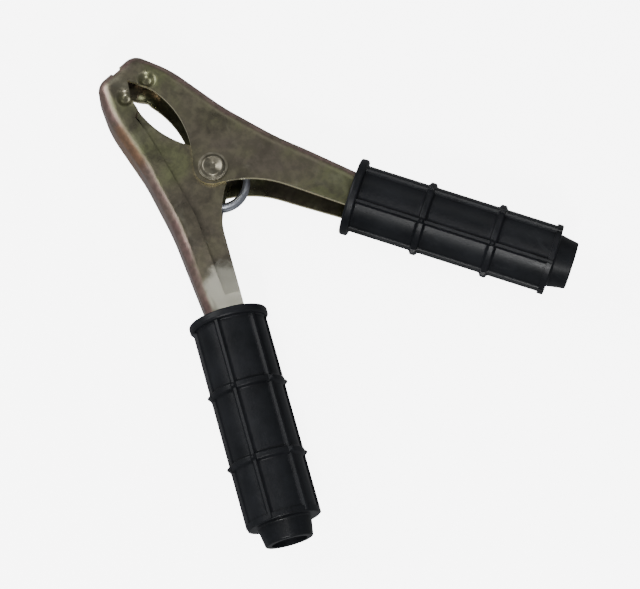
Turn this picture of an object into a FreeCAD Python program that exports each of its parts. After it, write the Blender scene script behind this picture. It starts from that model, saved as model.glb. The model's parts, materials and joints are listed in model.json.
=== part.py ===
# Crocodile clip: two folded steel arms on one rivet, a torsion spring between them
# and a ribbed moulded grip pushed on each handle.
#
# Frame: X runs along the clip from the jaw tips (-X) to the handles (+X), Y across it,
# Z up through the rivet. The clip lies flat on the collars of its two grips, at Z = 0.
# Sizes are in millimetres and degrees. The rivet's own axis is the arms' local origin.
import FreeCAD, Part
import math
import os
import Sketcher

V = FreeCAD.Vector

SIZES = [
    # Sheet of the two arms
    ("sheet", 1.4),
    ("bendRadius", 4.4),
    ("channelWidth", 19.6),
    ("armClearance", 0.15),
    # Jaw outline, seen from above with the rivet at the origin
    ("noseReach", 49.2),
    ("noseHeight", 8.6),
    ("noseRadius", 5.4),
    ("jawBackSetback", 12.7),
    ("jawBackHeight", 14.2),
    ("jawBackRadius", 40.0),
    ("waistReach", 14.0),
    ("waistHeight", 18.1),
    ("waistRadius", 80.0),
    ("shoulderReach", 6.0),
    ("shoulderHeight", 24.0),
    ("shoulderRadius", 90.0),
    ("biteLength", 6.7),
    ("biteRiseSetback", 12.2),
    ("biteRise", 3.4),
    ("eyeReach", 20.3),
    ("eyeHeight", 7.1),
    ("eyeRadius", 32.0),
    ("lobeReach", 1.7),
    ("lobeDrop", 9.4),
    ("lobeRadius", 6.0),
    ("crookReach", 11.1),
    ("crookHeight", 8.4),
    ("crookRadius", 35.0),
    ("lipDepth", 1.6),
    ("lipGap", 2.0),
    # Joggle that sinks the inner arm's cheeks between those of the outer one
    ("joggleSetback", 15.6),
    ("joggleStart", 3.0),
    ("joggleReach", 30.5),
    ("joggleHeight", 6.6),
    ("joggleBand", 8.0),
    ("joggleWall", 1.6),
    # Dimples pressed into the cheeks near the tips
    ("dimpleSetback", 10.9),
    ("dimpleHeight", 4.9),
    ("dimpleDepth", 1.6),
    ("dimpleFloor", 2.6),
    ("dimpleBrink", 5.8),
    ("dimpleBrinkDepth", 0.12),
    ("dimpleMouth", 8.8),
    ("dimpleBlend", 1.4),
    ("bumpRadius", 6.0),
    # Handles, measured along and across the handle's own line
    ("handleAngle", 28.2),
    ("gripOffset", 8.2),
    ("handleEdge", 5.9),
    ("handleBack", 6.8),
    ("handleStart", 27.0),
    ("straightStart", 50.0),
    ("straightRadius", 60.0),
    ("tailStation", 60.0),
    ("tailWidth", 13.6),
    ("narrowingRadius", 100.0),
    ("handleEnd", 98.0),
    # Rivet with a dished head on each cheek
    ("rivetShank", 5.0),
    ("rivetPlay", 0.1),
    ("rivetHead", 10.0),
    ("rivetRim", 0.7),
    ("rivetFoot", 8.4),
    ("rivetFootRise", 0.1),
    ("rivetCrest", 6.6),
    ("rivetCrestRise", 1.0),
    ("rivetCrestRounding", 0.5),
    ("rivetDish", 1.8),
    ("rivetDishDepth", 0.95),
    # Torsion spring, its legs spread by an angle to each side of the coil
    ("springWire", 2.5),
    ("springMean", 18.2),
    ("springPitch", 2.55),
    ("springShift", 3.2),
    ("springFullTurns", 2.0),
    ("springLegAngle", 45.0),
    ("springSeat", 0.15),
    # Grips, measured along the grip from its mouth
    ("gripStartOuter", 46.3),
    ("gripStartInner", 49.5),
    ("gripLength", 78.6),
    ("gripBody", 23.3),
    ("gripFit", 0.2),
    ("collarDiameter", 26.9),
    ("collarWidth", 3.0),
    ("collarRounding", 0.9),
    ("ringDiameter", 25.6),
    ("ringRoot", 3.2),
    ("ringCrest", 1.7),
    ("ringRounding", 0.5),
    ("firstRing", 26.0),
    ("secondRing", 50.85),
    ("endCollarDiameter", 24.6),
    ("endCollarWidth", 2.1),
    ("endCollarRounding", 0.5),
    ("bodyEnd", 72.1),
    ("nozzleBase", 18.3),
    ("nozzleEnd", 16.1),
    ("nozzleBore", 12.0),
    ("nozzleRounding", 0.6),
    ("cavityEnd", 67.0),
    # Ribs along the grips, with a pointed ear where each one crosses a ring
    ("ribCount", 6),
    ("ribTurn", 22.0),
    ("ribHeight", 1.1),
    ("ribFoot", 4.8),
    ("ribSink", 0.45),
    ("ribNeck", 2.0),
    ("ribCrest", 0.9),
    ("ribHollow", 1.4),
    ("earHeight", 0.95),
    ("earFoot", 3.6),
    ("earTip", 0.6),
]

doc = FreeCAD.newDocument("CrocodileClip")
sheet = doc.addObject("Spreadsheet::Sheet", "Sizes")
for row, (alias, value) in enumerate(SIZES, 1):
    sheet.set("A%d" % row, alias)
    sheet.set("B%d" % row, str(value))
    sheet.setAlias("B%d" % row, alias)
doc.recompute()


def value(text):
    """Number that an expression on the sheet gives."""
    found = sheet.evalExpression(text)
    return float(getattr(found, "Value", found))


def named(text):
    """Put the sheet's name before each alias in a short formula."""
    out = ""
    word = ""
    for letter in text + " ":
        if letter.isalpha():
            word += letter
            continue
        if word in ALIASES:
            word = "Sizes." + word
        out += word + letter
        word = ""
    return out.strip()


ALIASES = {alias for alias, _ in SIZES}


def bind(thing, path, text):
    """Tie one property to a formula on the sheet."""
    thing.setExpression(path, named(text))


def number(text):
    return value(named(text))


def base_plane(body, role):
    for feature in body.Origin.OriginFeatures:
        if feature.Role == role:
            return feature
    raise ValueError(role)


def new_sketch(body, name, role, turn=None):
    """Sketch on one of the body's own planes, turned about its upright axis by a formula."""
    sketch = body.newObject("Sketcher::SketchObject", name)
    sketch.AttachmentSupport = [(base_plane(body, role), "")]
    sketch.MapMode = "FlatFace"
    if turn:
        sketch.AttachmentOffset = FreeCAD.Placement(V(0, 0, 0), FreeCAD.Rotation(V(0, 1, 0), number(turn)))
        bind(sketch, "AttachmentOffset.Rotation.Angle", turn)
    return sketch


def pin_point(sketch, geometry, position, across, up):
    """Hold one point at two formulas from the sketch's origin."""
    for kind, text in (("DistanceX", across), ("DistanceY", up)):
        at = sketch.addConstraint(Sketcher.Constraint(kind, -1, 1, geometry, position, number(text)))
        bind(sketch, "Constraints[%d]" % at, text)


def rounded_profile(sketch, corners):
    """Closed outline through corners (across, up, radius); radius None leaves a corner sharp."""
    points = [V(number(a), number(b), 0) for a, b, _ in corners]
    radii = [None if r is None else number(r) for _, _, r in corners]
    count = len(points)
    ends = []
    arcs = []
    for i in range(count):
        here = points[i]
        into = (here - points[i - 1]).normalize()
        away = (points[(i + 1) % count] - here).normalize()
        if radii[i] is None:
            ends.append((here, here))
            arcs.append(None)
            continue
        cross = into.x * away.y - into.y * away.x
        turn = math.atan2(cross, into.dot(away))
        reach = radii[i] * math.tan(abs(turn) / 2)
        start = here - into * reach
        stop = here + away * reach
        side = 1 if turn > 0 else -1
        centre = start + V(-into.y, into.x, 0) * radii[i] * side
        first, last = (start, stop) if side > 0 else (stop, start)
        low = math.atan2(first.y - centre.y, first.x - centre.x)
        high = math.atan2(last.y - centre.y, last.x - centre.x)
        ends.append((start, stop))
        arcs.append((Part.ArcOfCircle(Part.Circle(centre, V(0, 0, 1), radii[i]), low, high), side))
    lines = []
    for i in range(count):
        lines.append(sketch.addGeometry(Part.LineSegment(ends[i][1], ends[(i + 1) % count][0])))
    for i, (across, up, radius) in enumerate(corners):
        before, after = lines[i - 1], lines[i]
        if arcs[i] is None:
            sketch.addConstraint(Sketcher.Constraint("Coincident", before, 2, after, 1))
            pin_point(sketch, after, 1, across, up)
            continue
        arc = sketch.addGeometry(arcs[i][0])
        near, far = (1, 2) if arcs[i][1] > 0 else (2, 1)
        sketch.addConstraint(Sketcher.Constraint("Tangent", before, 2, arc, near))
        sketch.addConstraint(Sketcher.Constraint("Tangent", arc, far, after, 1))
        at = sketch.addConstraint(Sketcher.Constraint("Radius", arc, radii[i]))
        bind(sketch, "Constraints[%d]" % at, radius)
        corner = sketch.addGeometry(Part.Point(points[i]), True)
        sketch.addConstraint(Sketcher.Constraint("PointOnObject", corner, 1, before))
        sketch.addConstraint(Sketcher.Constraint("PointOnObject", corner, 1, after))
        pin_point(sketch, corner, 1, across, up)


def pad_through(body, name, sketch, length):
    """Pad half of the length to each side of the sketch."""
    pad = body.newObject("PartDesign::Pad", name)
    pad.Profile = sketch
    pad.Midplane = True
    bind(pad, "Length", length)
    return pad


def cut_through(body, name, sketch, length):
    """Pocket half of the length to each side of the sketch."""
    pocket = body.newObject("PartDesign::Pocket", name)
    pocket.Profile = sketch
    pocket.Midplane = True
    bind(pocket, "Length", length)
    return pocket


def turned(body, name, sketch, axis):
    """Full revolution of a sketch about one of the body's own axes."""
    feature = body.newObject("PartDesign::Revolution", name)
    feature.Profile = sketch
    feature.ReferenceAxis = (base_plane(body, axis), [""])
    feature.Angle = 360
    return feature


def along_handle(along, across, side):
    """Formulas for a point given along and across the handle's line from the rivet."""
    x = "(%s) * cos(handleAngle) - (%s) * sin(handleAngle)" % (along, across)
    y = "%s * ((%s) * sin(handleAngle) + (%s) * cos(handleAngle))" % (side, along, across)
    return x, y


def arm_outline(side):
    """Corners of an arm seen from above: its folded back first, then its cut inner edge."""
    back = "gripOffset + handleBack"
    edge = "gripOffset - handleEdge"
    turn = "%d * " % side
    corners = [
        ("-noseReach", "0", None),
        ("-noseReach", turn + "noseHeight", "noseRadius"),
        ("jawBackSetback - noseReach", turn + "jawBackHeight", "jawBackRadius"),
        ("-waistReach", turn + "waistHeight", "waistRadius"),
        ("shoulderReach", turn + "shoulderHeight", "shoulderRadius"),
        along_handle("straightStart", back, side) + ("straightRadius",),
        along_handle("handleEnd", back, side) + (None,),
        along_handle("handleEnd", edge, side) + (None,),
        ("crookReach", turn + "crookHeight", "crookRadius"),
        ("lobeReach", "-" + turn + "lobeDrop", "lobeRadius"),
        ("-eyeReach", turn + "eyeHeight", "eyeRadius"),
        ("biteRiseSetback - noseReach", turn + "biteRise", None),
        ("biteLength - noseReach", "0", None),
    ]
    return corners


def side_name(side):
    return "Outer" if side > 0 else "Inner"


def facing(face):
    """Outward direction of a face near its middle."""
    u, v = face.Surface.parameter(face.CenterOfMass)
    return face.normalAt(u, v)


def edge_facings(shape, edge):
    """Outward directions of the faces that meet at the middle of an edge."""
    middle = edge.valueAt((edge.FirstParameter + edge.LastParameter) / 2)
    found = []
    for face in shape.ancestorsOfType(edge, Part.Face):
        u, v = face.Surface.parameter(middle)
        found.append(face.normalAt(u, v))
    return found


def is_back(normal, side):
    return abs(normal.z) < 0.1 and normal.dot(V(-0.45, side * 0.9, 0)) > 0.3


def back_edges(shape, side):
    """Long edges between the cheeks and the folded back."""
    chosen = []
    for i, edge in enumerate(shape.Edges, 1):
        normals = edge_facings(shape, edge)
        if any(abs(n.z) > 0.9 for n in normals) and any(is_back(n, side) for n in normals):
            chosen.append("Edge%d" % i)
    return chosen


def open_faces(shape, side):
    """Upright faces that the folded sheet leaves open: the cut inner edge and both ends."""
    chosen = []
    for i, face in enumerate(shape.Faces, 1):
        normal = facing(face)
        if abs(normal.z) < 0.1 and not is_back(normal, side):
            chosen.append("Face%d" % i)
    return chosen


def handle_half_width(station):
    """Half of an arm's width at a station where its handle narrows."""
    share = "(%s - handleStart) / (tailStation - handleStart)" % station
    return "(channelWidth / 2 - (channelWidth - tailWidth) / 2 * %s)" % share


def arm_form(side):
    """Solid block of an arm before it is hollowed: outline, width profile, rounded back."""
    tag = side_name(side)
    body = doc.addObject("PartDesign::Body", tag + "Form")
    outline = new_sketch(body, tag + "Outline", "XY_Plane")
    rounded_profile(outline, arm_outline(side))
    pad_through(body, tag + "Block", outline, "channelWidth + 2 * sheet")
    narrow = new_sketch(body, tag + "WidthProfile", "XZ_Plane", "%d * handleAngle" % side)
    for up in (1, -1):
        cheek = "%d * channelWidth / 2" % up
        tail = "%d * tailWidth / 2" % up
        outside = "%d * channelWidth" % up
        rounded_profile(narrow, [
            ("-2 * noseReach", cheek, None),
            ("handleStart", cheek, "narrowingRadius"),
            ("tailStation", tail, "narrowingRadius"),
            ("handleEnd + channelWidth", tail, None),
            ("handleEnd + channelWidth", outside, None),
            ("-2 * noseReach", outside, None),
        ])
    last = cut_through(body, tag + "Narrowed", narrow, "6 * noseReach")
    doc.recompute()
    rounding = body.newObject("PartDesign::Fillet", tag + "BackBend")
    rounding.Base = (last, back_edges(last.Shape, side))
    bind(rounding, "Radius", "bendRadius")
    doc.recompute()
    return body


def bump(name, side, up):
    """Ball whose lower part is the bump that a dimple raises inside the channel."""
    sphere = doc.addObject("Part::Sphere", name)
    bind(sphere, "Radius", "bumpRadius")
    bind(sphere, "Placement.Base.x", "dimpleSetback - noseReach")
    bind(sphere, "Placement.Base.y", "%d * dimpleHeight" % side)
    bind(sphere, "Placement.Base.z", "%d * (channelWidth / 2 - dimpleDepth - sheet + bumpRadius)" % up)
    return sphere


def dent(name, side, up):
    """Hollow that a dimple leaves on the outside of a cheek, with a soft brink."""
    body = doc.addObject("PartDesign::Body", name)
    half = new_sketch(body, name + "Half", "XZ_Plane")
    floor = "%d * (channelWidth / 2 - dimpleDepth)" % up
    lid = "%d * (channelWidth / 2 + dimpleDepth)" % up
    rounded_profile(half, [
        ("0", floor, None),
        ("dimpleFloor / 2", floor, "dimpleBlend"),
        ("dimpleBrink / 2", "%d * (channelWidth / 2 - dimpleBrinkDepth)" % up, "dimpleBlend"),
        ("dimpleMouth / 2", "%d * (channelWidth / 2 + dimpleBrinkDepth / 2)" % up, None),
        ("dimpleMouth / 2", lid, None),
        ("0", lid, None),
    ])
    turned(body, name + "Turned", half, "Z_Axis")
    bind(body, "Placement.Base.x", "dimpleSetback - noseReach")
    bind(body, "Placement.Base.y", "%d * dimpleHeight" % side)
    return body


def joined(name, pieces):
    whole = doc.addObject("Part::MultiFuse", name)
    whole.Shapes = pieces
    return whole


def cut_from(name, base, tool):
    left = doc.addObject("Part::Cut", name)
    left.Base = base
    left.Tool = tool
    return left


def sunk_blocks(name, side, band, level):
    """Two blocks over the sunk area of an arm, from a level outwards past each cheek."""
    turn = "%d * " % side
    body = doc.addObject("PartDesign::Body", name + "Prism")
    area = new_sketch(body, name + "Area", "XY_Plane")
    rounded_profile(area, [
        ("joggleSetback - noseReach - joggleBand + " + band, turn + "joggleStart", None),
        ("-joggleReach", turn + "(joggleHeight + joggleBand - %s)" % band, None),
        ("-waistReach", turn + "(waistHeight - %s)" % band, None),
        ("shoulderReach + joggleBand / 3", turn + "(shoulderHeight - %s)" % band, None),
        along_handle("straightStart", "gripOffset + handleBack - " + band, side) + (None,),
        along_handle("straightStart", "-channelWidth", side) + (None,),
        ("0", "-" + turn + "channelWidth", None),
        ("joggleSetback - noseReach - joggleBand + " + band, "-" + turn + "channelWidth", None),
    ])
    pad_through(body, name + "Pad", area, "channelWidth + 2 * sheet")
    core = doc.addObject("Part::Box", name + "Core")
    bind(core, "Length", "4 * noseReach")
    bind(core, "Width", "4 * noseReach")
    bind(core, "Height", "2 * " + level)
    bind(core, "Placement.Base.x", "-2 * noseReach")
    bind(core, "Placement.Base.y", "-2 * noseReach")
    bind(core, "Placement.Base.z", "-" + level)
    return cut_from(name, body, core)


def jaw_arm(side, label):
    """Folded sheet arm: hollowed form with dimples pressed in, rivet hole and open lips."""
    tag = side_name(side)
    form = arm_form(side)
    folded = doc.addObject("Part::Thickness", tag + "Folded")
    folded.Faces = (form, open_faces(form.Shape, side))
    bind(folded, "Value", "-sheet")
    folded.Mode = 0
    folded.Join = 0
    pressed = []
    dents = []
    for up, word in ((1, "Top"), (-1, "Under")):
        lump = doc.addObject("Part::MultiCommon", tag + word + "Pressed")
        lump.Shapes = [form, bump(tag + word + "Bump", side, up)]
        pressed.append(lump)
        dents.append(dent(tag + word + "Dent", side, up))
    hole = doc.addObject("Part::Cylinder", tag + "RivetHole")
    bind(hole, "Radius", "rivetShank / 2 + rivetPlay")
    bind(hole, "Height", "2 * channelWidth")
    bind(hole, "Placement.Base.z", "-channelWidth")
    gap = doc.addObject("Part::Box", tag + "LipGap")
    bind(gap, "Length", "noseReach")
    bind(gap, "Width", "2 * lipGap")
    bind(gap, "Height", "2 * channelWidth")
    bind(gap, "Placement.Base.x", "lipDepth - 2 * noseReach")
    bind(gap, "Placement.Base.y", "-lipGap")
    bind(gap, "Placement.Base.z", "-channelWidth")
    if side < 0:
        level = "(channelWidth / 2 - sheet - armClearance)"
        plates = doc.addObject("Part::MultiCommon", tag + "SunkPlates")
        wider = sunk_blocks(tag + "Sunk", side, "(joggleBand - joggleWall)", "(%s - sheet)" % level)
        plates.Shapes = [form, wider]
        pressed.append(plates)
        dents.append(sunk_blocks(tag + "Relief", side, "joggleBand", level))
    whole = joined(tag + "Whole", [folded] + pressed)
    tools = joined(tag + "Cuts", dents + [hole, gap])
    arm = cut_from(tag + "Arm", whole, tools)
    arm.Label = label
    place(arm, "0", "0")


def pivot_rivet():
    """Rivet through both arms: shank and two formed heads, each a thin rim and a dished crown."""
    body = doc.addObject("PartDesign::Body", "Rivet")
    half = new_sketch(body, "RivetHalf", "XZ_Plane")
    seat = "channelWidth / 2"
    rim = seat + " + rivetRim"
    crest = rim + " + rivetCrestRise"
    floor = crest + " - rivetDishDepth"
    head = [
        ("rivetShank / 2", seat, None),
        ("rivetHead / 2", seat, None),
        ("rivetHead / 2", rim, None),
        ("rivetFoot / 2", rim + " + rivetFootRise", None),
        ("rivetCrest / 2", crest, "rivetCrestRounding"),
        ("rivetDish / 2", floor, None),
        ("0", floor, None),
    ]
    mirrored = [(across, "-(%s)" % up, radius) for across, up, radius in reversed(head)]
    rounded_profile(half, head + mirrored)
    turned(body, "RivetTurned", half, "Z_Axis")
    body.Label = "pivot_rivet"
    place(body, "0", "0")


def spring_leg_length():
    """Formula for a leg that ends just short of the arm's back, inside the sheet."""
    mouth_x, mouth_y = along_handle("straightStart", "gripOffset + handleBack", 1)
    lean = "atan((%s - shoulderHeight) / (%s - shoulderReach))" % (mouth_y, mouth_x)
    back = "(shoulderHeight * cos(%s) - shoulderReach * sin(%s) - sheet - springSeat)" % (lean, lean)
    coil = "(springMean / 2)"
    start_x = "(springShift - %s * cos(springLegAngle))" % coil
    start_y = "(%s * sin(springLegAngle))" % coil
    start = "(%s * cos(%s) - %s * sin(%s))" % (start_y, lean, start_x, lean)
    rise = "(cos(springLegAngle) * cos(%s) - sin(springLegAngle) * sin(%s))" % (lean, lean)
    run = "(sin(springLegAngle) * cos(%s) + cos(springLegAngle) * sin(%s))" % (lean, lean)
    return "(%s - %s - springWire / 2 * %s) / %s" % (back, start, run, rise)


def torsion_spring():
    """Coil about the rivet with two straight legs that press the arms' backs apart."""
    turns = "(floor(springFullTurns) + springLegAngle / 180)"
    coil = doc.addObject("Part::Helix", "SpringPath")
    coil.LocalCoord = 0
    bind(coil, "Radius", "springMean / 2")
    bind(coil, "Pitch", "springPitch")
    bind(coil, "Height", "springPitch * " + turns)
    bind(coil, "Placement.Base.x", "springShift")
    bind(coil, "Placement.Base.z", "-springPitch * %s / 2" % turns)
    bind(coil, "Placement.Rotation.Angle", "180 - springLegAngle")
    doc.recompute()
    section = doc.addObject("Part::Circle", "SpringSection")
    bind(section, "Radius", "springWire / 2")
    section.AttachmentSupport = [(coil, "Edge1")]
    section.MapMode = "NormalToEdge"
    section.MapPathParameter = 0
    wire = doc.addObject("Part::Sweep", "SpringCoil")
    wire.Sections = [section]
    wire.Spine = (coil, ["Edge1"])
    wire.Solid = True
    wire.Frenet = True
    legs = []
    for name, end in (("SpringOuterLeg", 0), ("SpringInnerLeg", 1)):
        leg = doc.addObject("Part::Cylinder", name)
        bind(leg, "Radius", "springWire / 2")
        bind(leg, "Height", spring_leg_length())
        leg.AttachmentSupport = [(coil, "Edge1")]
        leg.MapMode = "NormalToEdge"
        leg.MapPathParameter = end
        leg.MapReversed = end == 1
        legs.append(leg)
    spring = joined("Spring", [wire] + legs)
    spring.Label = "torsion_spring"
    place(spring, "0", "0")


def ring_corners(centre):
    """Outline of one raised ring round the grip."""
    return [
        ("%s - ringRoot / 2" % centre, "gripBody / 2", "ringRounding"),
        ("%s - ringCrest / 2" % centre, "ringDiameter / 2", "ringRounding"),
        ("%s + ringCrest / 2" % centre, "ringDiameter / 2", "ringRounding"),
        ("%s + ringRoot / 2" % centre, "gripBody / 2", "ringRounding"),
    ]


def grip_ear(body, name, centre):
    """Four-sided point that stands on a ring where the first rib crosses it."""
    ear = body.newObject("PartDesign::AdditiveWedge", name)
    ear.Placement = FreeCAD.Placement(V(0, 0, 0), FreeCAD.Rotation(V(1, 0, 0), number("90 + ribTurn")))
    bind(ear, "Placement.Rotation.Angle", "90 + ribTurn")
    for prefix, along, across in (("", "ringRoot", "earFoot"), ("2", "earTip", "earTip")):
        bind(ear, "X%smin" % prefix, "%s - %s / 2" % (centre, along))
        bind(ear, "X%smax" % prefix, "%s + %s / 2" % (centre, along))
        bind(ear, "Z%smin" % prefix, "-%s / 2" % across)
        bind(ear, "Z%smax" % prefix, "%s / 2" % across)
    bind(ear, "Ymin", "ringDiameter / 2 - earHeight")
    bind(ear, "Ymax", "ringDiameter / 2 + earHeight")
    return ear


def moulded_grip(side, start, label):
    """Hollow grip: collar at its mouth, two rings, ribs along its body and an open nozzle."""
    tag = side_name(side) + "Grip"
    mouth = "(sqrt(handleEdge * handleEdge + %s * %s) + gripFit)" % ((handle_half_width(start),) * 2)
    cavity = "(sqrt(handleEdge * handleEdge + tailWidth * tailWidth / 4) + gripFit)"
    body = doc.addObject("PartDesign::Body", tag)
    half = new_sketch(body, tag + "Half", "XY_Plane")
    outside = [
        ("0", "collarDiameter / 2", "collarRounding"),
        ("collarWidth", "collarDiameter / 2", "collarRounding"),
        ("collarWidth", "gripBody / 2", "ringRounding"),
    ]
    outside += ring_corners("firstRing") + ring_corners("secondRing")
    outside += [
        ("bodyEnd - endCollarWidth", "gripBody / 2", None),
        ("bodyEnd - endCollarWidth", "endCollarDiameter / 2", None),
        ("bodyEnd", "endCollarDiameter / 2", "endCollarRounding"),
        ("bodyEnd", "nozzleBase / 2", "nozzleRounding"),
        ("gripLength", "nozzleEnd / 2", "nozzleRounding"),
    ]
    inside = [
        ("gripLength", "nozzleBore / 2", None),
        ("cavityEnd", "nozzleBore / 2", None),
        ("cavityEnd", cavity, None),
        ("tailStation - " + start, cavity, None),
        ("0", mouth, None),
    ]
    rounded_profile(half, outside + inside)
    turned(body, tag + "Turned", half, "X_Axis")
    rib_section = new_sketch(body, tag + "RibSection", "YZ_Plane")
    phase = FreeCAD.Rotation(V(0, 0, 1), number("ribTurn"))
    rib_section.AttachmentOffset = FreeCAD.Placement(V(0, 0, 1), phase)
    bind(rib_section, "AttachmentOffset.Base.z", "collarWidth / 2")
    bind(rib_section, "AttachmentOffset.Rotation.Angle", "ribTurn")
    rounded_profile(rib_section, [
        ("-ribFoot / 2", "gripBody / 2 - ribSink", None),
        ("ribFoot / 2", "gripBody / 2 - ribSink", None),
        ("ribNeck / 2", "gripBody / 2", "ribHollow"),
        ("ribCrest / 2", "gripBody / 2 + ribHeight", None),
        ("-ribCrest / 2", "gripBody / 2 + ribHeight", None),
        ("-ribNeck / 2", "gripBody / 2", "ribHollow"),
    ])
    rib = body.newObject("PartDesign::Pad", tag + "Rib")
    rib.Profile = rib_section
    bind(rib, "Length", "bodyEnd - endCollarRounding - collarWidth / 2")
    ears = [grip_ear(body, tag + "FirstEar", "firstRing"), grip_ear(body, tag + "SecondEar", "secondRing")]
    doc.recompute()
    ribs = body.newObject("PartDesign::PolarPattern", tag + "Ribs")
    ribs.Originals = [rib] + ears
    ribs.Axis = (base_plane(body, "X_Axis"), [""])
    ribs.Angle = 360
    bind(ribs, "Occurrences", "ribCount")
    body.Tip = ribs
    body.Label = label
    mouth_x, mouth_y = along_handle(start, "gripOffset", side)
    place(body, mouth_x, mouth_y)
    bind(body, "Placement.Rotation.Angle", "%d * handleAngle" % side)


def place(thing, along, across):
    """Move a finished piece from the rivet's own origin to the clip's frame."""
    tip_x, _ = along_handle("gripStartInner + gripLength", "gripOffset - nozzleEnd / 2", 1)
    bind(thing, "Placement.Base.x", "%s - (%s - noseReach) / 2" % (along, tip_x))
    bind(thing, "Placement.Base.y", "%s + (gripStartInner - gripStartOuter) * sin(handleAngle) / 2" % across)
    bind(thing, "Placement.Base.z", "collarDiameter / 2")


jaw_arm(1, "outer_jaw_arm")
jaw_arm(-1, "inner_jaw_arm")
pivot_rivet()
torsion_spring()
moulded_grip(1, "gripStartOuter", "outer_arm_grip")
moulded_grip(-1, "gripStartInner", "inner_arm_grip")
doc.recompute()

NODES = [
    "outer_jaw_arm",
    "inner_jaw_arm",
    "pivot_rivet",
    "torsion_spring",
    "outer_arm_grip",
    "inner_arm_grip",
]
for thing in doc.Objects:
    if "Invalid" in thing.State or "Error" in thing.State:
        raise RuntimeError("%s failed: %s" % (thing.Name, thing.State))
pieces = [doc.getObjectsByLabel(label)[0] for label in NODES]
for piece in pieces:
    if piece.Shape.isNull() or not piece.Shape.isValid():
        raise RuntimeError("%s has no valid shape" % piece.Label)

os.makedirs("parts", exist_ok=True)
for piece in pieces:
    piece.Shape.exportStep("parts/%s.step" % piece.Label)
    box = piece.Shape.optimalBoundingBox(False)
    print(piece.Label, len(piece.Shape.Solids), round(piece.Shape.Volume, 1), box)
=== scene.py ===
import json
import math

import bmesh
import bpy
from mathutils import Matrix, Vector


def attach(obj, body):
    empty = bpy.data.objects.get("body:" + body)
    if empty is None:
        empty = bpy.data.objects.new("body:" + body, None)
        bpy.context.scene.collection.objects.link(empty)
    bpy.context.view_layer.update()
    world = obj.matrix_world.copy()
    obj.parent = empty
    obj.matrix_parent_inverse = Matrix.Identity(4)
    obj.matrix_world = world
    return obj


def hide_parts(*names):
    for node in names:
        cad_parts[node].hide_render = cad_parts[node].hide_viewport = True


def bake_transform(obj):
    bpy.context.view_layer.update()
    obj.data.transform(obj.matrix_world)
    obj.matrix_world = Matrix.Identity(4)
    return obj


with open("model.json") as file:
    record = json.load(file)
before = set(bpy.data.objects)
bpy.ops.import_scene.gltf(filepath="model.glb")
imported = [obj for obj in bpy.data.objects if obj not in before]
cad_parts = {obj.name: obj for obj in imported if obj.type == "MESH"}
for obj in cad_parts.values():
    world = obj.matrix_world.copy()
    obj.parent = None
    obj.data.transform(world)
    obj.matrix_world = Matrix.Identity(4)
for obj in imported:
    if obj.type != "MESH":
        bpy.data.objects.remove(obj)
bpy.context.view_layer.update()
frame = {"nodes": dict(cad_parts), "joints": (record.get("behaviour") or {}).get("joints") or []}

mm = 0.001
pivotJoint = next(j for j in frame["joints"] if j["name"] == "jaw_pivot")
pivot = Vector(pivotJoint["pos_m"])   # centre of the rivet, halfway up the clip
slack = 0.001 * mm                    # two points nearer than this are one


# Shader maths: a wrapped socket, and a material that makes nodes

class Value:
    def __init__(self, shader, socket):
        self.shader = shader
        self.socket = socket

    def combine(self, operation, *others):
        settings = {"operation": operation}
        return self.shader.make("ShaderNodeMath", settings, dict(enumerate((self,) + others)))

    def __add__(self, other):
        return self.combine("ADD", other)

    def __radd__(self, other):
        return self.combine("ADD", other)

    def __sub__(self, other):
        return self.combine("SUBTRACT", other)

    def __rsub__(self, other):
        return self.shader.make("ShaderNodeMath", {"operation": "SUBTRACT"}, {0: other, 1: self})

    def __mul__(self, other):
        return self.combine("MULTIPLY", other)

    def __rmul__(self, other):
        return self.combine("MULTIPLY", other)

    def __abs__(self):
        return self.combine("ABSOLUTE")

    def rise(self, low, high):   # 0 below low, 1 above high, smooth between; low may be above high
        settings = {"interpolation_type": "SMOOTHSTEP", "clamp": True}
        sockets = {"Value": self, "From Min": low, "From Max": high}
        return self.shader.make("ShaderNodeMapRange", settings, sockets)


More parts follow.
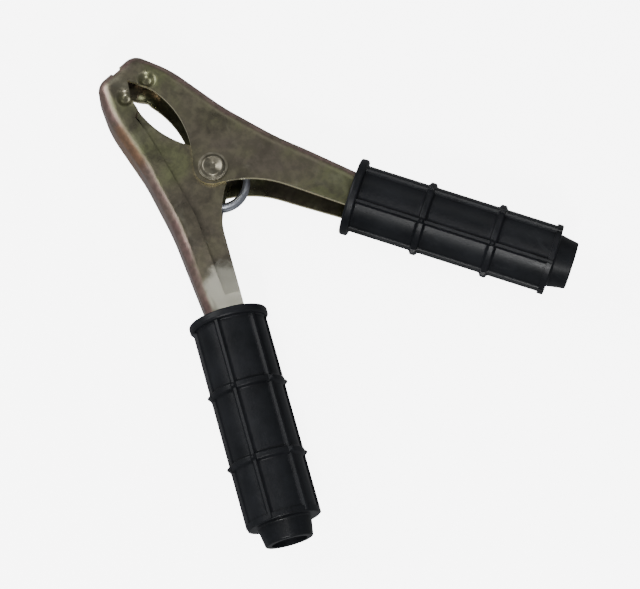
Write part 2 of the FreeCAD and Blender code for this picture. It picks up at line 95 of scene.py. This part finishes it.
class Shader:
    def __init__(self, name):
        self.material = bpy.data.materials.new(name)
        self.material.use_nodes = True
        self.tree = self.material.node_tree
        self.tree.nodes.clear()
        self.place = self.make("ShaderNodeTexCoord", {}, {}, "Object")

    def make(self, kind, settings, sockets, output=0):
        node = self.tree.nodes.new(kind)
        for key, setting in settings.items():
            if key == "stops":
                self.setStops(node.color_ramp, setting)
            else:
                setattr(node, key, setting)
        for key, given in sockets.items():
            if isinstance(given, Value):
                self.tree.links.new(given.socket, node.inputs[key])
            else:
                node.inputs[key].default_value = given
        return Value(self, node.outputs[output])

    def setStops(self, ramp, stops):
        while len(ramp.elements) < len(stops):
            ramp.elements.new(0.5)
        for element, (position, colour) in zip(ramp.elements, stops):
            element.position = position
            element.color = (*colour, 1)

    def noise(self, size, detail=3.0, rough=0.5, place=None, warp=0.0):   # size in metres
        sockets = {"Vector": place or self.place, "Scale": 1 / size, "Detail": detail}
        sockets |= {"Roughness": rough, "Distortion": warp}
        return self.make("ShaderNodeTexNoise", {}, sockets, "Fac")

    def turned(self, turn, stretch):   # a pattern drawn out along a line in the clip's plane
        sockets = {"Vector": self.place, "Rotation": (0, 0, math.radians(turn)), "Scale": stretch}
        return self.make("ShaderNodeMapping", {"vector_type": "POINT"}, sockets)

    def spot(self, centre, turn, reach, edge=0.5):   # 1 inside an ellipse round a place in millimetres
        sockets = {"Vector": self.place, "Location": [v * mm for v in centre]}
        sockets |= {"Rotation": (0, 0, math.radians(turn)), "Scale": [v * mm for v in reach]}
        local = self.make("ShaderNodeMapping", {"vector_type": "TEXTURE"}, sockets)
        distance = self.make("ShaderNodeVectorMath", {"operation": "LENGTH"}, {0: local}, "Value")
        rough = self.noise(0.004, 3.0, 0.6)
        return (distance + (rough - 0.5) * 0.7).rise(1.0 + edge / 2, 1.0 - edge / 2)

    def mix(self, factor, low, high):
        settings = {"data_type": "RGBA", "blend_type": "MIX", "clamp_factor": True}
        low = low if isinstance(low, Value) else (*low, 1)
        high = high if isinstance(high, Value) else (*high, 1)
        return self.make("ShaderNodeMix", settings, {0: factor, 6: low, 7: high}, 2)

    def ramp(self, factor, stops):
        return self.make("ShaderNodeValToRGB", {"stops": stops}, {"Fac": factor})

    def bump(self, height, distance, strength=1.0):
        sockets = {"Height": height, "Distance": distance, "Strength": strength}
        return self.make("ShaderNodeBump", {}, sockets, "Normal")

    def finish(self, **sockets):
        names = {"baseColor": "Base Color", "roughness": "Roughness", "metallic": "Metallic"}
        names |= {"normal": "Normal", "specular": "Specular IOR Level"}
        names |= {"emission": "Emission Color", "glow": "Emission Strength"}
        given = {names[key]: value for key, value in sockets.items()}
        surface = self.make("ShaderNodeBsdfPrincipled", {}, given)
        output = self.tree.nodes.new("ShaderNodeOutputMaterial")
        self.tree.links.new(surface.socket, output.inputs["Surface"])
        return self.material


# Plated sheet: yellow passivated zinc, olive on the cheeks and pink on the folded backs, where the pink is
# partly the plating's tint and partly a painted reflection; a painted highlight on the cut edges

plating = {
    "brown": (0.168, 0.145, 0.112),
    "olive": (0.182, 0.168, 0.112),
    "green": (0.182, 0.188, 0.102),
    "dark": (0.088, 0.080, 0.060),
    "pale": (0.360, 0.345, 0.265),
    # pink and rose for the folded backs: partly the plating's tint, partly a painted reflection
    "pink": (0.400, 0.285, 0.240),
    "rose": (0.370, 0.235, 0.215),
    "stain": (0.480, 0.260, 0.130),
    # painted highlight: the cut edges are coloured near white, standing in for the light they catch
    "edge": (0.850, 0.780, 0.480),
    # pale colour for a patch by the grip: partly rubbed plating, partly a painted highlight
    "rubbedAndHighlight": (0.620, 0.600, 0.500),
    "roughness": 0.34,
    # where that pale patch lies: partly rubbed plating, partly a painted highlight
    "rubbedAndHighlightSpot": ((3.0, -25.0, 13.45), -28.2, (9.0, 7.5, 60.0)),
    "dimples": [
        ((-70.1, 5.9, 13.45), 0.0, (5.0, 5.0, 60.0)),
        ((-70.1, -4.4, 13.45), 0.0, (5.0, 5.0, 60.0)),
    ],
    "stainSpot": ((-56.0, -16.0, 13.45), -30.0, (9.0, 6.0, 60.0)),
}


def platedSteel():
    p = plating
    s = Shader("platedSteel")
    patches = s.noise(0.026, 2.0, 0.5, warp=0.6)
    clouds = s.noise(0.009, 4.0, 0.6, warp=0.4)
    grain = s.noise(0.0022, 4.0, 0.65)
    tone = patches + (clouds - 0.5) * 0.35
    cheek = s.ramp(tone, [(0.36, p["brown"]), (0.50, p["olive"]), (0.62, p["green"])])
    cheek = s.mix(clouds.rise(0.50, 0.30) * 0.5, cheek, p["dark"])
    cheek = s.mix(s.noise(0.013, 3.0, 0.6, warp=0.8).rise(0.54, 0.72) * 0.25, cheek, p["pale"])
    normal = s.make("ShaderNodeNewGeometry", {}, {}, "Normal")
    upward = abs(s.make("ShaderNodeSeparateXYZ", {}, {"Vector": normal}, "Z"))
    dimples = s.spot(*p["dimples"][0]) + s.spot(*p["dimples"][1])
    # pink where the sheet faces sideways, on the folded backs: partly the plating's tint, partly a painted
    # reflection that makes the backs paler than the cheeks
    side = (upward + (clouds - 0.5) * 0.10).rise(0.985, 0.80) * (1 - dimples)
    back = s.mix(s.noise(0.012, 3.0, 0.6).rise(0.36, 0.62), p["pink"], p["rose"])
    back = s.mix(s.noise(0.007, 3.0, 0.6).rise(0.56, 0.70) * 0.6, back, p["olive"])
    back = s.mix(s.spot(*p["stainSpot"]) * 0.65, back, p["stain"])
    colour = s.mix(side * 0.9, cheek, back)
    colour = s.mix(grain.rise(0.62, 0.40) * 0.30, colour, p["dark"])
    marks = 0.0
    for turn, across, where in ((28, 0.0011, 0.012), (-24, 0.0009, 0.010), (70, 0.0008, 0.008)):
        line = s.noise(across, 2.0, 0.5, s.turned(turn, (0.06, 1, 1)))
        marks = line.rise(0.71, 0.80) * s.noise(where, 2.0).rise(0.52, 0.62) + marks
    colour = s.mix(marks * 0.55, colour, p["pale"])
    # pale patch by the grip, kept off the folded backs: partly rubbed plating, partly a painted highlight
    rubbedAndHighlight = s.spot(*p["rubbedAndHighlightSpot"])
    colour = s.mix(rubbedAndHighlight * (1 - side) * 0.8, colour, p["rubbedAndHighlight"])
    # painted highlight on the cut edges: their colour is mixed towards the pale edge colour
    edge = s.make("ShaderNodeAttribute", {"attribute_name": "cutEdge"}, {}, "Fac")
    colour = s.mix(edge, colour, p["edge"])
    roughness = (clouds - 0.5) * 0.30 + (grain - 0.5) * 0.15 + p["roughness"] - edge * 0.06
    dents = s.noise(0.006, 2.0, 0.5)
    normalOut = s.bump(dents * 1.2 + grain * 0.25 + marks * 0.15, 0.00012, 0.5)
    return s.finish(baseColor=colour, roughness=roughness, metallic=0.88, normal=normalOut)


# Rivet: the same plating, rubbed paler

rivetFinish = {"low": (0.17, 0.155, 0.115), "high": (0.27, 0.25, 0.19), "roughness": 0.36}


def rivetSteel():
    s = Shader("rivetSteel")
    tone = s.noise(0.0025, 4.0, 0.6)
    colour = s.ramp(tone, [(0.35, rivetFinish["low"]), (0.68, rivetFinish["high"])])
    normalOut = s.bump(s.noise(0.0012, 3.0), 0.00006, 0.5)
    roughness = (tone - 0.5) * 0.25 + rivetFinish["roughness"]
    return s.finish(baseColor=colour, roughness=roughness, metallic=0.95, normal=normalOut)


# Spring wire: drawn steel, light grey with a blue cast

wireFinish = {"low": (0.26, 0.275, 0.31), "high": (0.46, 0.48, 0.53), "roughness": 0.40}


def springSteel():
    s = Shader("springSteel")
    tone = s.noise(0.004, 4.0, 0.6)
    colour = s.ramp(tone, [(0.3, wireFinish["low"]), (0.7, wireFinish["high"])])
    normalOut = s.bump(s.noise(0.0006, 3.0), 0.00003, 0.5)
    roughness = (tone - 0.5) * 0.25 + wireFinish["roughness"]
    return s.finish(baseColor=colour, roughness=roughness, metallic=0.85, normal=normalOut)


# Grips: black moulded plastic, dulled and smeared by handling

gripFinish = {
    "low": (0.0045, 0.0050, 0.0062),
    "high": (0.0105, 0.0115, 0.0140),
    "smear": (0.030, 0.032, 0.035),
    "roughness": 0.40,
}


def gripPlastic():
    s = Shader("gripPlastic")
    tone = s.noise(0.012, 4.0, 0.6)
    dust = s.noise(0.0014, 4.0, 0.7)
    colour = s.ramp((dust - 0.5) * 0.3 + tone, [(0.3, gripFinish["low"]), (0.7, gripFinish["high"])])
    smears = 0.0
    for turn in (28, -28):
        streak = s.noise(0.0035, 4.0, 0.65, s.turned(turn, (0.22, 1, 1)), 0.5)
        smears = streak.rise(0.56, 0.72) * s.noise(0.016, 2.0).rise(0.50, 0.66) + smears
    colour = s.mix(smears * 0.45, colour, gripFinish["smear"])
    roughness = (tone - 0.5) * 0.25 + (dust - 0.5) * 0.12 + gripFinish["roughness"] + smears * 0.15
    normalOut = s.bump(s.noise(0.0009, 2.0, 0.5) + tone * 0.6, 0.00006, 0.45)
    return s.finish(baseColor=colour, roughness=roughness, metallic=0.0, normal=normalOut, specular=0.22)


steel = platedSteel()
rivet = rivetSteel()
wire = springSteel()
grip = gripPlastic()
print("materials made")


# Merged copies of the sheets and the spring, with the shading that the solids had

def mergedCopy(node):
    mesh = frame["nodes"][node].data.copy()
    shading = [v for corner in mesh.corner_normals for v in corner.vector]
    mesh.attributes.new("solidNormal", "FLOAT_VECTOR", "CORNER").data.foreach_set("vector", shading)
    bm = bmesh.new()
    bm.from_mesh(mesh)
    bmesh.ops.remove_doubles(bm, verts=bm.verts, dist=2 * slack)
    bm.normal_update()
    return mesh, bm


def finishCopy(mesh, bm, name, material):
    bm.to_mesh(mesh)
    bm.free()
    mesh.name = name
    mesh.shade_smooth()
    if "custom_normal" in mesh.attributes:
        mesh.attributes.remove(mesh.attributes["custom_normal"])
    shading = mesh.attributes["solidNormal"]
    mesh.normals_split_custom_set([corner.vector.normalized() for corner in shading.data])
    mesh.attributes.remove(mesh.attributes["solidNormal"])
    mesh.materials.clear()
    mesh.materials.append(material)
    piece = bpy.data.objects.new(name, mesh)
    bpy.context.scene.collection.objects.link(piece)
    return piece


# Arms: the cut edges are marked for a painted highlight, and the end of the inner arm's step is sloped
# beside the eye

sheet = {
    "sharpAngle": 25,
    "edgeWidth": 2.0 * mm,    # widest group of faces that is still a cut edge
    "edgeLean": 0.35,
    "stepReach": 2.5 * mm,    # the step's walls, which are no cut edges, lie this near its line
}
joggle = {
    # the edge of the raised band, in millimetres from the rivet
    "line": [(-33.6, -3.0), (-30.5, -6.6), (-14.0, -10.1), (8.67, -16.0), (40.8, -29.8)],
    "sunk": 8.25 * mm,        # height of the sunk plane over the clip's middle
    "height": 1.55 * mm,
    "spread": 3.1 * mm,       # how far the flat behind the step goes back along the handle
    "steep": 0.8 * mm,        # and beside the eye
    "grow": (-18.0, -9.0),    # mm from the rivet, where the one becomes the other
    "fade": (31.0, 39.0),
    "eyeEnd": (-32.6, -30.0),
    "columns": 2.0,           # mm between cuts
    "rows": 6,
    "near": 0.7 * mm,
    "band": 6.0 * mm,
    "least": 0.05 * mm,
    "flat": 0.9,              # upward part of a normal
    "level": 0.97,
}


def smoothGroups(bm, limit):
    groups = []
    seen = set()
    for first in bm.faces:
        if first in seen:
            continue
        group = [first]
        seen.add(first)
        for face in group:
            for edge in face.edges:
                if len(edge.link_faces) != 2 or edge.calc_face_angle(0) > limit:
                    continue
                for other in edge.link_faces:
                    if other not in seen:
                        seen.add(other)
                        group.append(other)
        groups.append(group)
    return groups


def lineDistance(x, y):   # from the joggle's line, positive towards the arm's back
    best = None
    points = [Vector((px * mm, py * mm)) for px, py in joggle["line"]]
    here = Vector((x - pivot.x, y - pivot.y))
    for a, b in zip(points, points[1:]):
        run = b - a
        t = min(max((here - a).dot(run) / run.length_squared, 0), 1)
        away = here - (a + run * t)
        outward = Vector((run.y, -run.x)).normalized()
        if best is None or away.length < abs(best[0]):
            sign = 1 if away.dot(outward) >= 0 else -1
            best = (sign * away.length, outward)
    return best


def markCutEdges(bm, skipStep):
    layer = bm.loops.layers.float.new("cutEdge")
    marked = 0
    for group in smoothGroups(bm, math.radians(sheet["sharpAngle"])):
        area = sum(face.calc_area() for face in group)
        inside = set(group)
        edges = [e for face in group for e in face.edges]
        rim = sum(e.calc_length() for e in edges if not all(f in inside for f in e.link_faces))
        flat = sum(abs(face.normal.z) * face.calc_area() for face in group)
        if flat > sheet["edgeLean"] * area or rim == 0 or 2 * area / rim > sheet["edgeWidth"]:
            continue
        middle = sum((face.calc_center_median() for face in group), Vector()) / len(group)
        if skipStep and abs(lineDistance(middle.x, middle.y)[0]) < sheet["stepReach"]:
            continue
        for face in group:
            marked += 1
            for corner in face.loops:
                corner[layer] = 1.0
    print("cut edge faces", marked, "of", len(bm.faces))


def easing(value, low, high):
    t = min(max((value - low) / (high - low), 0), 1)
    return t * t * (3 - 2 * t)


def rampWidth(x):   # along the joggle, x in millimetres from the rivet
    reach = joggle["steep"] + (joggle["spread"] - joggle["steep"]) * easing(x, *joggle["grow"])
    return reach * easing(x, *joggle["eyeEnd"]) * (1 - easing(x, *joggle["fade"]))


def around(faces):   # the faces with their edges and points, for a cut
    edges = dict.fromkeys(e for f in faces for e in f.edges)
    return faces + list(edges) + list(dict.fromkeys(v for f in faces for v in f.verts))


def liesFlat(face):
    return abs(face.normal.z) > joggle["flat"]


def heightOf(point):   # over or under the clip's middle
    return abs(point.z - pivot.z)


def markWalls(bm, isWall):   # the step's short wall beside the eye, above and below
    low = joggle["sunk"] - joggle["near"] / 2
    high = joggle["sunk"] + joggle["height"] + joggle["near"]
    for group in smoothGroups(bm, math.radians(sheet["sharpAngle"])):
        heights = [heightOf(v.co) for face in group for v in face.verts]
        middle = sum((face.calc_center_median() for face in group), Vector()) / len(group)
        away = abs(lineDistance(middle.x, middle.y)[0])
        if min(heights) > low and max(heights) < high and away < joggle["near"]:
            for face in group:
                face[isWall] = 1


def facesOut(face):
    middle = face.calc_center_median()
    high = heightOf(middle) > joggle["sunk"] - joggle["near"] / 2
    return high and liesFlat(face) and face.normal.z * (middle.z - pivot.z) > 0


def cutStep(bm, isWall):   # columns across the outer planes, rows up the walls
    geometry = around([f for f in bm.faces if f[isWall] or facesOut(f)])
    x, last = joggle["line"][0][0], joggle["line"][-1][0]
    while x < last:
        place = pivot + Vector((x * mm, 0, 0))
        cut = bmesh.ops.bisect_plane(bm, geom=geometry, dist=slack / 10, plane_co=place, plane_no=(1, 0, 0))
        geometry = cut["geom"]
        x += joggle["columns"]
    for side in (-1, 1):
        for row in range(1, joggle["rows"]):
            geometry = around([f for f in bm.faces if f[isWall]])
            level = joggle["sunk"] + joggle["height"] * row / joggle["rows"]
            place = pivot + Vector((0, 0, side * level))
            bmesh.ops.bisect_plane(bm, geom=geometry, dist=slack / 10, plane_co=place, plane_no=(0, 0, 1))


def wallPlace(point, tops, outward, width):   # on a slope that starts and ends level
    above = [top for top in tops if top[0] >= point.x - slack / 10]
    full = (above[0] if above else tops[-1])[1] - joggle["sunk"]
    share = min(max((heightOf(point) - joggle["sunk"]) / max(full, slack), 0), 1)
    place = point + (outward * width * share).to_3d()
    side = 1 if point.z > pivot.z else -1
    place.z = pivot.z + side * (joggle["sunk"] + easing(share, 0, 1) * full)
    return place


def moveStep(bm, isWall, walls):   # the walls lean back, and the flat behind the step goes with them
    wallVerts = {v for f in walls for v in f.verts}
    print("step end", len(walls), "faces", len(wallVerts), "points")
    tops = sorted((v.co.x, heightOf(v.co)) for v in wallVerts
                  if any(not f[isWall] and liesFlat(f) for f in v.link_faces)
                  and heightOf(v.co) > joggle["sunk"] + 10 * slack)
    moves = {}
    for v in bm.verts:
        if heightOf(v.co) < joggle["sunk"] - slack:
            continue
        distance, outward = lineDistance(v.co.x, v.co.y)
        width = rampWidth((v.co.x - pivot.x) / mm)
        side = 1 if v.co.z > pivot.z else -1
        if v in wallVerts:
            moves[v] = wallPlace(v.co, tops, outward, width)
        elif 0 < distance < joggle["band"] and heightOf(v.co) > joggle["sunk"] + joggle["least"]:
            if min(f.normal.z * side for f in v.link_faces) > joggle["level"]:
                moves[v] = v.co + (outward * width * (1 - distance / joggle["band"])).to_3d()
    for v, place in moves.items():
        v.co = place
    bm.normal_update()


def shadeWalls(bm, isWall, walls):
    shading = bm.loops.layers.float_vector["solidNormal"]
    for face in walls:
        for corner in face.loops:
            flats = [f for f in corner.vert.link_faces if not f[isWall] and liesFlat(f)]
            own = sum((f.normal * f.calc_area() for f in corner.vert.link_faces if f[isWall]), Vector())
            corner[shading] = flats[0].normal if flats else own.normalized()


def softenStep(bm):
    isWall = bm.faces.layers.int.new("stepWall")
    markWalls(bm, isWall)
    cutStep(bm, isWall)
    walls = [f for f in bm.faces if f[isWall]]
    moveStep(bm, isWall, walls)
    shadeWalls(bm, isWall, walls)
    bmesh.ops.triangulate(bm, faces=[f for f in bm.faces if len(f.verts) > 4])
    bm.faces.layers.int.remove(isWall)


def makeArm(node, body, stepped):
    mesh, bm = mergedCopy(node)
    markCutEdges(bm, stepped)
    if stepped:
        softenStep(bm)
    arm = finishCopy(mesh, bm, node + "_finished", steel)
    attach(arm, body)
    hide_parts(node)
    return arm


makeArm("outer_jaw_arm", "outer_half", False)
makeArm("inner_jaw_arm", "inner_half", True)
print("arms made")


# Torsion spring: a merged copy of the solid, with its shading


def makeSpring():
    mesh, bm = mergedCopy("torsion_spring")
    piece = finishCopy(mesh, bm, "torsion_spring_finished", wire)
    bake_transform(piece)
    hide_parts("torsion_spring")


makeSpring()
print("spring made")


# Rivet and grips keep the solids' shapes

def dressNode(node, material):
    shown = frame["nodes"][node]
    shown.data.materials.clear()
    shown.data.materials.append(material)


dressNode("pivot_rivet", rivet)
dressNode("outer_arm_grip", grip)
dressNode("inner_arm_grip", grip)
print("rivet and grips dressed")


# Camera at the photograph's viewing angle

view = {
    "focal": 2401.0,                      # pixels, for a frame 640 pixels wide
    "frameWidth": 640.0,
    "sensor": 36.0,
    "stand": (0.20667, -0.17742, 0.77118),   # from the rivet's centre
    "right": (0.6913, 0.7221, 0.0279),
    "down": (0.6977, -0.6568, -0.2860),
}


def makeCamera():
    data = bpy.data.cameras.new("camera")
    data.sensor_fit = "HORIZONTAL"
    data.sensor_width = view["sensor"]
    data.lens = view["focal"] * view["sensor"] / view["frameWidth"]
    camera = bpy.data.objects.new("camera", data)
    bpy.context.scene.collection.objects.link(camera)
    right = Vector(view["right"]).normalized()
    up = -Vector(view["down"])
    up = (up - right * up.dot(right)).normalized()
    turn = Matrix((right, up, right.cross(up))).transposed()
    camera.matrix_world = Matrix.Translation(pivot + Vector(view["stand"])) @ turn.to_4x4()
    bpy.context.scene.camera = camera


# White floor and soft studio light

studio = {
    "floor": (0.90, 0.90, 0.90),
    "floorGlow": 7.0,
    "world": (0.80, 0.82, 0.85),
    "worldStrength": 0.33,
    "lights": [   # name, place, aim, size, watts
        ("overhead", (0.14, 0.00, 1.25), (0.0, -0.02, 0.01), 0.16, 1.1),
        ("front", (0.42, -0.42, 0.62), (-0.03, 0.0, 0.01), 0.16, 5.0),
        ("left", (-0.75, -0.30, 0.65), (-0.02, 0.0, 0.01), 0.70, 7.0),
        ("back", (-0.30, 0.80, 0.90), (0.0, 0.0, 0.01), 0.60, 0.9),
    ],
}


def makeStudio():
    bm = bmesh.new()
    bmesh.ops.create_grid(bm, x_segments=1, y_segments=1, size=3.0)
    mesh = bpy.data.meshes.new("floor")
    bm.to_mesh(mesh)
    bm.free()
    floor = bpy.data.objects.new("floor", mesh)
    bpy.context.scene.collection.objects.link(floor)
    s = Shader("floorPaper")
    paper = (*studio["floor"], 1)
    glow = studio["floorGlow"]
    mesh.materials.append(s.finish(baseColor=paper, roughness=0.9, specular=0.1, emission=paper, glow=glow))
    floor.visible_glossy = False   # the white shows behind the clip and does not flood its sides
    floor.visible_diffuse = False
    world = bpy.data.worlds.new("studio")
    world.use_nodes = True
    backdrop = world.node_tree.nodes["Background"]
    backdrop.inputs["Color"].default_value = (*studio["world"], 1)
    backdrop.inputs["Strength"].default_value = studio["worldStrength"]
    bpy.context.scene.world = world
    for name, place, aim, size, watts in studio["lights"]:
        data = bpy.data.lights.new(name, "AREA")
        data.shape = "DISK"
        data.size = size
        data.energy = watts
        lamp = bpy.data.objects.new(name, data)
        bpy.context.scene.collection.objects.link(lamp)
        lamp.location = place
        lamp.rotation_mode = "QUATERNION"
        lamp.rotation_quaternion = (Vector(aim) - Vector(place)).to_track_quat("-Z", "Y")


makeCamera()
makeStudio()
print("camera and studio made")
